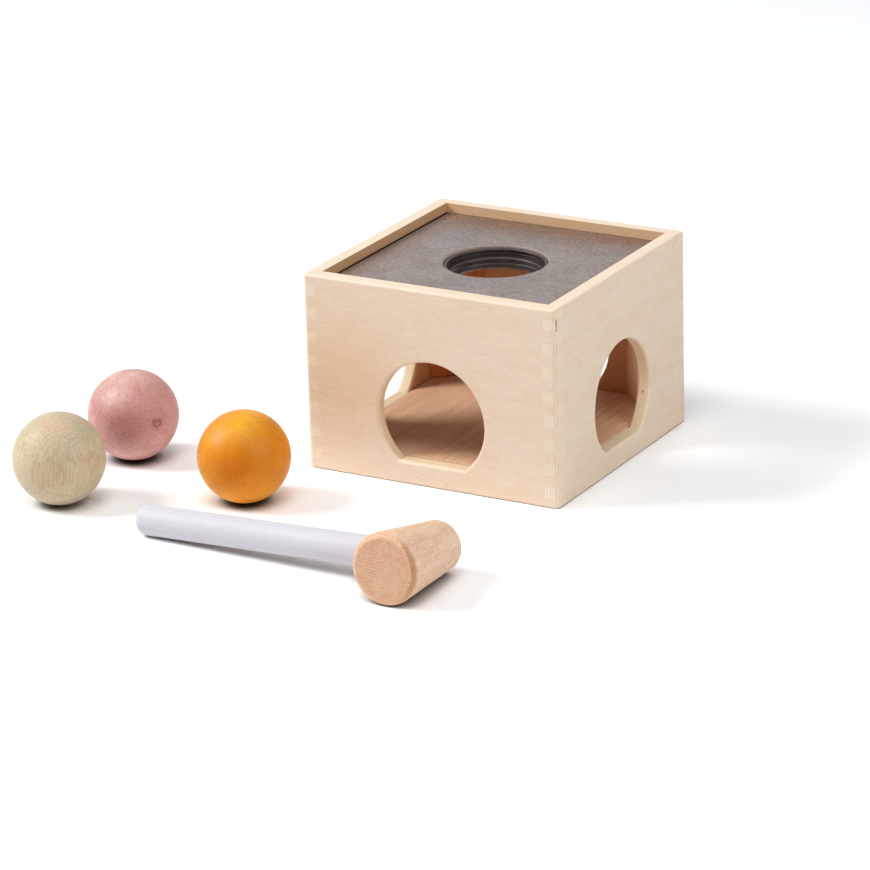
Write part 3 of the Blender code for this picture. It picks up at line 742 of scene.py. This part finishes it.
# Grip ring
# A moulded ring of black rubber that lines the hole and sits on its ledge.
# A bead runs round its lip, and a thick rib below is a little narrower than the ball, so a blow is needed.
RING_WALL = 0.0009
RIB_HEIGHT = 0.0055
RIB_RADIUS = 0.0245
RIB_EDGE = 0.0010
BEAD = 0.0004
RUBBER_BLACK = (0.020, 0.0125, 0.0098)
RUBBER_DUSTY = (0.044, 0.029, 0.023)
ring_low, ring_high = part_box("grip_ring")
outer = ring_high.x
inner = outer - RING_WALL
rib_top = ring_low.z + RIB_HEIGHT
groove = ring_low.z + 0.45 * RIB_HEIGHT
rubber, tree, shader, place = new_material("black_rubber", 0.36)
dust = grain_noise(tree, place, (700.0, 700.0, 700.0), 1.0)
colour = tinted(tree, spread(tree, dust, 0.3, 0.7), RUBBER_BLACK, RUBBER_DUSTY)
coat(tree, shader, colour, grain_noise(tree, place, (2500.0, 2500.0, 2500.0), 6.0), 0.00004,
     spread(tree, dust, 0.3, 0.7, 0.36, 0.52))
ring_side = [
    *arc((outer - BEAD, ring_high.z - BEAD), BEAD, 0, 90),
    *arc((inner, ring_high.z - 2 * BEAD), 2 * BEAD, 90, 270, 10),
    (inner, rib_top + 4.5 * BEAD), *arc((inner, rib_top + 3.5 * BEAD), BEAD / 2, 90, 270),
    (inner, rib_top),
    *arc((RIB_RADIUS + RIB_EDGE, rib_top - RIB_EDGE), RIB_EDGE, 90, 180),
    *arc((RIB_RADIUS - BEAD / 4, groove), 1.5 * BEAD, 60, -60),
    *arc((RIB_RADIUS + BEAD, ring_low.z + BEAD), BEAD, 180, 270),
    (outer, ring_low.z),
]
grip_ring = new_piece("grip_ring_finish", turned(ring_side, HOLE_FACETS, closed=True), rubber)
smooth(grip_ring, 50.0)
fit_in(grip_ring, "box", "black_rubber", "grip_ring")


# Balls
# Three turned wooden balls in thin coloured stain, so the grain shows through, with a low gloss.
# They lie loose on the table; the stain is uneven, and the pink ball has a small knot on its right side.
# Patches toward given sides are painted light and shade: highlights on top of the pink and orange balls,
# bounce light under the orange one, and shade on their fronts, their right sides and the green ball's top.
BALL_UNEVEN = 0.00006
BALL_DIVISIONS = 6
LINE_TONE = (0.86, 0.82, 0.77)
SPECK_TONE = (0.74, 0.66, 0.64)
KNOT_REACH = 0.0045
KNOT_RING = 0.0021
KNOT_TONE = (0.72, 0.58, 0.62)
KNOT_RING_TONE = (0.62, 0.46, 0.53)


def ball_tree():
    """A finely divided ball, a touch uneven as turned wood is."""
    tree, given, identifiers = new_tree("turned_ball", {
        "Radius": "Float", "Centre": "Vector", "Uneven": "Float", "Stain": "Material"})
    inputs = {"Radius": given["Radius"], "Subdivisions": BALL_DIVISIONS}
    ball = add_node(tree, "GeometryNodeMeshIcoSphere", inputs).outputs[0]
    here = add_node(tree, "GeometryNodeInputPosition").outputs[0]
    bumps = add_node(tree, "ShaderNodeTexNoise", {"Vector": here, "Scale": 60.0, "Detail": 1.0}).outputs[0]
    amount = times(tree, calc(tree, "SUBTRACT", bumps, 0.5), given["Uneven"])
    normal = add_node(tree, "GeometryNodeInputNormal").outputs[0]
    offset = add_node(tree, "ShaderNodeVectorMath", {0: normal, "Scale": amount}, operation="SCALE")
    inputs = {"Geometry": ball, "Offset": offset.outputs[0]}
    worn = add_node(tree, "GeometryNodeSetPosition", inputs).outputs[0]
    inputs = {"Geometry": worn, "Translation": given["Centre"]}
    end_tree(tree, add_node(tree, "GeometryNodeTransform", inputs).outputs[0], given["Stain"])
    return tree, identifiers


def ball_stain(name, centre, radius, tones, cloud_size, grain_turn, shift, lines, speckle, light_and_shade_patches,
               knot=None):
    """Thin stain on a ball's grain: tones in clouds, grain lines, specks, and painted light and shade in
    patches toward given directions.
    """
    material, tree, shader, place = new_material(name, 0.44, 0.25)
    ball = seen_from(tree, place, centre)
    laid = seen_from(tree, ball, rotation=grain_turn)
    cloud = grain_noise(tree, ball, cloud_size, shift, detail=3.0, distortion=0.4)
    grain = grain_noise(tree, laid, (900.0, 900.0, 45.0), shift + 3.0, detail=2.0)
    speck = grain_noise(tree, laid, (1250.0, 1250.0, 700.0), shift + 6.0, detail=2.0)
    colour = tinted(tree, spread(tree, cloud, 0.34, 0.52), tones[0], tones[1])
    colour = tinted(tree, spread(tree, cloud, 0.50, 0.66), colour, tones[2])
    # Patches toward given directions are painted light and shade.
    for way, size, tint in light_and_shade_patches:
        reach = ragged_reach(tree, ball, Vector(way).normalized() * radius, cloud, size)
        colour = layered(tree, colour, (spread(tree, reach, size, size * 0.15), tint))
    colour = layered(tree, colour, (spread(tree, grain, 0.40, 0.68, 0.0, lines), LINE_TONE),
                     (spread(tree, speck, 0.48, 0.70, 0.0, speckle), SPECK_TONE))
    if knot:
        uneven = grain_noise(tree, ball, (420.0, 420.0, 420.0), 31.0, detail=2.0)
        reach = ragged_reach(tree, ball, Vector(knot).normalized() * radius, uneven, KNOT_REACH)
        ring = calc(tree, "ABSOLUTE", calc(tree, "SUBTRACT", reach, KNOT_RING))
        colour = layered(tree, colour, (spread(tree, reach, KNOT_REACH, 0.0012, 0.0, 0.8), KNOT_TONE),
                         (spread(tree, ring, 0.0014, 0.0002, 0.0, 0.6), KNOT_RING_TONE))
    coat(tree, shader, colour, calc(tree, "ADD", grain, speck), 0.00008,
         spread(tree, speck, 0.3, 0.7, 0.38, 0.50))
    return material


turned_ball, ball_inputs = ball_tree()
stains = {
    "green": {"tones": ((0.60, 0.50, 0.345), (0.545, 0.46, 0.31), (0.585, 0.435, 0.315)),
              "cloud_size": (26.0, 26.0, 70.0), "grain_turn": (0.05, 0.08, 0.4), "shift": 2.0,
              "lines": 1.0, "speckle": 0.4,
              "light_and_shade_patches": (((0.19, -0.38, 0.91), 0.012, (1.04, 0.95, 0.94)),
                          ((0.37, -0.93, -0.05), 0.016, (1.0, 0.92, 0.88)),
                          ((0.98, -0.20, 0.05), 0.014, (1.0, 0.92, 0.90)))},
    "pink": {"tones": ((0.70, 0.41, 0.37), (0.62, 0.33, 0.30), (0.55, 0.265, 0.245)),
             "cloud_size": (55.0, 55.0, 55.0), "grain_turn": (0.5, 0.3, 1.0), "shift": 17.0,
             "lines": 0.5, "speckle": 0.8,
             "light_and_shade_patches": (((0.34, -0.94, 0.03), 0.021, (0.78, 0.66, 0.66)),
                         ((-0.42, -0.38, 0.83), 0.027, (1.10, 1.32, 1.28)),
                         ((0.94, -0.05, 0.33), 0.022, (0.84, 0.76, 0.76))),
             "knot": (0.90, -0.43, 0.07)},
    "orange": {"tones": ((0.78, 0.325, 0.013), (0.73, 0.275, 0.008), (0.69, 0.235, 0.006)),
               "cloud_size": (50.0, 50.0, 50.0), "grain_turn": (0.9, 0.4, 0.2), "shift": 33.0,
               "lines": 0.5, "speckle": 0.45,
               "light_and_shade_patches": (((0.31, -0.95, 0.04), 0.022, (0.98, 0.72, 0.35)),
                           ((0.41, -0.77, -0.49), 0.018, (1.10, 1.12, 1.2)),
                           ((0.19, -0.44, 0.88), 0.015, (1.03, 1.15, 1.5)),
                           ((0.95, -0.16, 0.20), 0.022, (0.92, 0.72, 0.5)))},
}
for name, stain in stains.items():
    node = name + "_ball"
    low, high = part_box(node)
    centre = (low + high) / 2
    radius = (high.z - low.z) / 2
    ball = from_tree(node + "_finish", turned_ball, ball_inputs, {
        "Radius": radius - BALL_UNEVEN, "Centre": centre, "Uneven": BALL_UNEVEN,
        "Stain": ball_stain(name + "_stain", centre, radius, **stain)})
    smooth(ball, 60.0)
    fit_in(ball, node, name + "_stain", node)


# Mallet head
# A short tapered head turned from a pale wood with fleck, with its edges rounded over.
# It lies on its side, and a blind bore in the side takes the handle.
# The rounding of its face is darker on the side away from the handle, as painted shade.
HEAD_FACE_RADIUS = 0.019
HEAD_TAIL_RADIUS = 0.0135
HEAD_LENGTH = 0.056
HEAD_EDGE = 0.0025
FACE_EDGE = 0.0040
FACE_CREASE = 75.0
HEAD_TAPER = math.atan((HEAD_FACE_RADIUS - HEAD_TAIL_RADIUS) / (HEAD_LENGTH - 2 * HEAD_EDGE))
HEAD_HEADING = math.radians(88.0)
HEAD_INSIDE_RIGHT = 0.0167
HEAD_IN_FRONT = 0.1267
HANDLE_RADIUS = 0.0082
HANDLE_REACH = 0.1653
HANDLE_PAST_AXIS = 0.004
HANDLE_END_ROUND = 0.005
BORE_GAP = 0.0001
HEAD_PITH = (0.014, -0.099)
HEAD_RING = 0.0016
HEAD_PALE = (0.81, 0.58, 0.415)
HEAD_DARK = (0.73, 0.50, 0.35)
ROUNDED_TONE = (0.96, 0.87, 0.80)
SHADED_SIDE_TONE = (0.70, 0.58, 0.46)
FACE_TONE = (0.86, 0.75, 0.70)
HEAD_FACETS = 128
ROD_FACETS = 96

head_axis = Vector((math.cos(HEAD_HEADING) * math.cos(HEAD_TAPER),
                    math.sin(HEAD_HEADING) * math.cos(HEAD_TAPER), -math.sin(HEAD_TAPER)))
sideways = Vector((-math.sin(HEAD_HEADING), math.cos(HEAD_HEADING), 0.0))
upwards = head_axis.cross(sideways)
mean_radius = (HEAD_FACE_RADIUS + HEAD_TAIL_RADIUS) / 2
head_middle = Vector((right_high.x - HEAD_INSIDE_RIGHT, front_low.y - HEAD_IN_FRONT,
                      (mean_radius - HEAD_EDGE) * math.cos(HEAD_TAPER) + HEAD_EDGE))
reach = HANDLE_REACH - HANDLE_END_ROUND
offset = HANDLE_RADIUS - HANDLE_END_ROUND
dip = math.asin((head_middle.z - HANDLE_END_ROUND) / math.hypot(reach, offset)) - math.atan2(offset, reach)
lean = math.asin(math.sin(dip) / upwards.z)
handle_way = sideways * math.cos(lean) - upwards * math.sin(lean)
head_matrix = Matrix.Translation(head_middle) @ Matrix(
    (handle_way, head_axis.cross(handle_way), head_axis)).transposed().to_4x4()
handle_matrix = Matrix.Translation(head_middle) @ Matrix(
    (head_axis, handle_way.cross(head_axis), handle_way)).transposed().to_4x4()

half = HEAD_LENGTH / 2
slope = math.degrees(HEAD_TAPER)
round_height = FACE_EDGE * math.sin(math.radians(FACE_CREASE)) - half
side_radius = (HEAD_FACE_RADIUS - HEAD_EDGE + HEAD_EDGE / math.cos(HEAD_TAPER)
               - math.tan(HEAD_TAPER) * (round_height + half - HEAD_EDGE))
round_radius = side_radius - FACE_EDGE / math.cos(HEAD_TAPER)
head_bm = turned([
    (0.0, half), *arc((HEAD_TAIL_RADIUS - HEAD_EDGE, half - HEAD_EDGE), HEAD_EDGE, 90, slope, 8),
    *arc((round_radius, round_height), FACE_EDGE, slope, -FACE_CREASE, 12), (0.0, -half)], HEAD_FACETS)
head_bm.transform(head_matrix)
head_wood, tree, shader, place = new_material("mallet_wood", 0.5)
wood = seen_from(tree, place, head_middle, head_matrix.to_euler())
ring = growth_rings(tree, wood, HEAD_PITH, HEAD_RING, (70.0, 70.0, 12.0), 1.6)
streak = grain_noise(tree, wood, (300.0, 300.0, 45.0), 7.7, distortion=0.3)
ray = grain_noise(tree, wood, (1300.0, 900.0, 330.0), 9.2, detail=1.0)
pore = grain_noise(tree, wood, (1500.0, 1500.0, 320.0), 1.3, detail=1.0)
rosy = grain_noise(tree, wood, (60.0, 60.0, 30.0), 5.9)
facing = facing_of(tree, head_matrix.to_euler())
end = calc(tree, "ABSOLUTE", facing["Z"])
end_ring = times(tree, ring, spread(tree, end, 0.3, 0.9, 0.25, 0.75))
from_face = calc(tree, "ADD", axes_of(tree, wood)["Z"], half)
rounded = times(tree, spread(tree, from_face, 0.0036, 0.0016), spread(tree, end, 0.985, 0.96))
# The rounding on the side away from the handle is darker: painted shade where it faces away from the main
# lamp.
shaded_side = times(tree, rounded, spread(tree, facing["X"], -0.28, -0.60))
colour = tinted(tree, spread(tree, streak, 0.3, 0.7), HEAD_PALE, HEAD_DARK)
colour = layered(tree, colour, (spread(tree, rosy, 0.35, 0.65), (1.0, 0.96, 0.97)),
                 (end_ring, (0.90, 0.80, 0.72)))
colour = tinted(tree, spread(tree, ray, 0.56, 0.70, 0.0, 0.5), colour, (0.90, 0.72, 0.44))
colour = layered(tree, colour, (spread(tree, pore, 0.54, 0.70, 0.0, 0.6), (0.78, 0.64, 0.54)),
                 (rounded, ROUNDED_TONE), (shaded_side, SHADED_SIDE_TONE),
                 (spread(tree, end, 0.95, 0.99), FACE_TONE))
coat(tree, shader, colour, calc(tree, "ADD", streak, pore), 0.0001,
     spread(tree, streak, 0.3, 0.7, 0.44, 0.56))
mallet_head = new_piece("mallet_head_finish", head_bm, head_wood)
bore_radius = HANDLE_RADIUS + BORE_GAP
bore_end = -HANDLE_PAST_AXIS - BORE_GAP
bore_bm = turned([(0.0, HANDLE_REACH), (bore_radius, HANDLE_REACH), (bore_radius, bore_end), (0.0, bore_end)],
                 ROD_FACETS)
bore_bm.transform(handle_matrix)
cut(mallet_head, new_piece("handle_bore", bore_bm))
smooth(mallet_head, 12.0)
fit_in(mallet_head, "mallet", "mallet_wood", "mallet_head")


# Mallet handle
# A round wooden rod with a rounded end, glued into the head's bore.
# It has a thin satin coat of very pale lavender paint, with the wood's grain just felt through it.
LAVENDER = (0.615, 0.60, 0.645)
LAVENDER_SHADE = (0.57, 0.555, 0.605)
lavender, tree, shader, place = new_material("lavender_paint", 0.5, 0.3)
rod = seen_from(tree, place, head_middle, handle_matrix.to_euler())
grain = grain_noise(tree, rod, (700.0, 700.0, 24.0), 2.0, detail=3.0)
cloud = grain_noise(tree, rod, (60.0, 60.0, 18.0), 5.0, detail=2.0)
shaded = times(tree, spread(tree, grain, 0.35, 0.75), spread(tree, cloud, 0.2, 0.8))
coat(tree, shader, tinted(tree, shaded, LAVENDER, LAVENDER_SHADE), grain, 0.00006,
     spread(tree, cloud, 0.3, 0.7, 0.44, 0.58))
handle_bm = turned([
    (0.0, HANDLE_REACH),
    *arc((HANDLE_RADIUS - HANDLE_END_ROUND, HANDLE_REACH - HANDLE_END_ROUND), HANDLE_END_ROUND, 90, 0, 10),
    (HANDLE_RADIUS, -HANDLE_PAST_AXIS), (0.0, -HANDLE_PAST_AXIS)], ROD_FACETS)
handle_bm.transform(handle_matrix)
mallet_handle = new_piece("mallet_handle_finish", handle_bm, lavender)
smooth(mallet_handle)
fit_in(mallet_handle, "mallet", "handle_paint", "mallet_handle")


# Table
# A plain white table that runs out of sight; it shows white where no shadow falls.
# Close under a piece it is darkened for the camera, less so under the mallet's handle.
# The world around it is white to the camera and to reflections, and lights the toy mostly from above.
TABLE_SIZE = 12.0
TABLE_WHITE = (1.0, 1.0, 1.0)
TABLE_SHOWN = (1.11, 1.13, 1.15)
CONTACT_SHADE = (0.115, 0.11, 0.105)
CONTACT_REACH = 0.03
HANDLE_CLEAR = 0.5
TIGHT_SHADE = (0.22, 0.205, 0.19)
TIGHT_REACH = 0.006
BOX_CLEAR = 0.012
AMBIENT_ABOVE = 0.57
AMBIENT_FROM = 0.25
table_white = bpy.data.materials.new("table_white")
table_white.use_nodes = True
tree = table_white.node_tree
tree.nodes.clear()
shown = add_node(tree, "ShaderNodeLightPath").outputs["Is Camera Ray"]
tucked = add_node(tree, "ShaderNodeAmbientOcclusion", {"Distance": CONTACT_REACH}, samples=8).outputs["AO"]
place = add_node(tree, "ShaderNodeTexCoord").outputs["Object"]
handle_turn = (0.0, 0.0, math.atan2(handle_way.y, handle_way.x))
beside = axes_of(tree, seen_from(tree, place, (*head_middle.xy, 0.0), handle_turn))
under_handle = times(tree, spread(tree, beside["X"], HEAD_FACE_RADIUS, 2 * HEAD_FACE_RADIUS),
                     spread(tree, calc(tree, "ABSOLUTE", beside["Y"]), 4 * HANDLE_RADIUS, 3 * HANDLE_RADIUS))
tucked = calc(tree, "MAXIMUM", tucked, times(tree, under_handle, HANDLE_CLEAR))
shown_white = tinted(tree, spread(tree, tucked, 0.06, 0.66), CONTACT_SHADE, TABLE_SHOWN)
tight = add_node(tree, "ShaderNodeAmbientOcclusion", {"Distance": TIGHT_REACH}, samples=8).outputs["AO"]
off_mallet = calc(tree, "MAXIMUM", spread(tree, beside["X"], HANDLE_REACH, HANDLE_REACH + HANDLE_RADIUS),
                  spread(tree, calc(tree, "ABSOLUTE", beside["Y"]), HEAD_LENGTH / 2, HEAD_LENGTH * 0.75))
spot = axes_of(tree, place)
from_middle = calc(tree, "MAXIMUM", calc(tree, "ABSOLUTE", spot["X"]), calc(tree, "ABSOLUTE", spot["Y"]))
off_box = spread(tree, from_middle, right_high.x + BOX_CLEAR / 2, right_high.x + BOX_CLEAR)
tight = times(tree, spread(tree, tight, 0.70, 0.15), times(tree, off_mallet, off_box))
shown_white = tinted(tree, tight, shown_white, TIGHT_SHADE, "MULTIPLY")
matt = add_node(tree, "ShaderNodeBsdfDiffuse", {"Color": tinted(tree, shown, TABLE_WHITE, shown_white)})
add_node(tree, "ShaderNodeOutputMaterial", {"Surface": matt.outputs[0]})
table_bm = bmesh.new()
bmesh.ops.create_grid(table_bm, x_segments=1, y_segments=1, size=TABLE_SIZE / 2)
table = bpy.data.objects.new("table", bpy.data.meshes.new("table"))
table_bm.to_mesh(table.data)
table_bm.free()
table.data.materials.append(table_white)
bpy.context.scene.collection.objects.link(table)

world = bpy.data.worlds.new("studio")
bpy.context.scene.world = world
world.use_nodes = True
tree = world.node_tree
sky = tree.nodes["Background"]
rays = add_node(tree, "ShaderNodeLightPath").outputs
mirrored = calc(tree, "MAXIMUM", rays["Is Glossy Ray"], rays["Is Transmission Ray"])
shown = calc(tree, "MAXIMUM", rays["Is Camera Ray"], mirrored)
way = add_node(tree, "ShaderNodeTexCoord").outputs["Generated"]
height = axes_of(tree, way)["Z"]
ambient = spread(tree, height, AMBIENT_FROM, 1.0, 0.0, AMBIENT_ABOVE)
sky.inputs["Color"].default_value = (1.0, 1.0, 1.0, 1.0)
feed(tree, sky.inputs["Strength"], spread(tree, shown, 0.0, 1.0, ambient, 1.0))


# Lights
# Three large soft lamps: the main one on the left and a little in front, one high in front, and a fill on
# the right. None of them shows to the camera.


def soft_lamp(name, place, size, power):
    """A square lamp that faces the toy."""
    lamp = bpy.data.lights.new(name, "AREA")
    lamp.size = size
    lamp.energy = power
    holder = bpy.data.objects.new(name, lamp)
    holder.location = place
    holder.rotation_euler = (-Vector(place)).to_track_quat("-Z", "Y").to_euler()
    holder.visible_camera = False
    bpy.context.scene.collection.objects.link(holder)


soft_lamp("left_lamp", (-1.85, -0.86, 1.57), 1.0, 54.0)
soft_lamp("front_lamp", (0.3, -0.85, 2.1), 1.0, 12.0)
soft_lamp("right_lamp", (1.9, -0.3, 1.2), 1.4, 17.5)


# Camera
# It stands where the photograph was taken: to the right of the front, above the table, with a long lens.
AZIMUTH = math.radians(29.7141)
ELEVATION = math.radians(20.0502)
ROLL = math.radians(-1.6343)
DISTANCE = 2.33185
AIM_RIGHT = 0.03557
AIM_UP = -0.00457
LENS = 176.14
SENSOR_WIDTH = 36.0
FARTHEST = 50.0
backwards = Vector((math.sin(AZIMUTH) * math.cos(ELEVATION), -math.cos(AZIMUTH) * math.cos(ELEVATION),
                    math.sin(ELEVATION)))
level = Vector((math.cos(AZIMUTH), math.sin(AZIMUTH), 0.0))
upright = backwards.cross(level)
image_right = level * math.cos(ROLL) + upright * math.sin(ROLL)
image_up = upright * math.cos(ROLL) - level * math.sin(ROLL)
camera = bpy.data.objects.new("camera", bpy.data.cameras.new("camera"))
camera.data.lens = LENS
camera.data.sensor_width = SENSOR_WIDTH
camera.data.clip_end = FARTHEST
camera.matrix_world = Matrix.Translation(
    backwards * DISTANCE - image_right * AIM_RIGHT - image_up * AIM_UP) @ Matrix(
    (image_right, image_up, backwards)).transposed().to_4x4()
bpy.context.scene.collection.objects.link(camera)
bpy.context.scene.camera = camera
bpy.context.scene.view_settings.view_transform = "Standard"
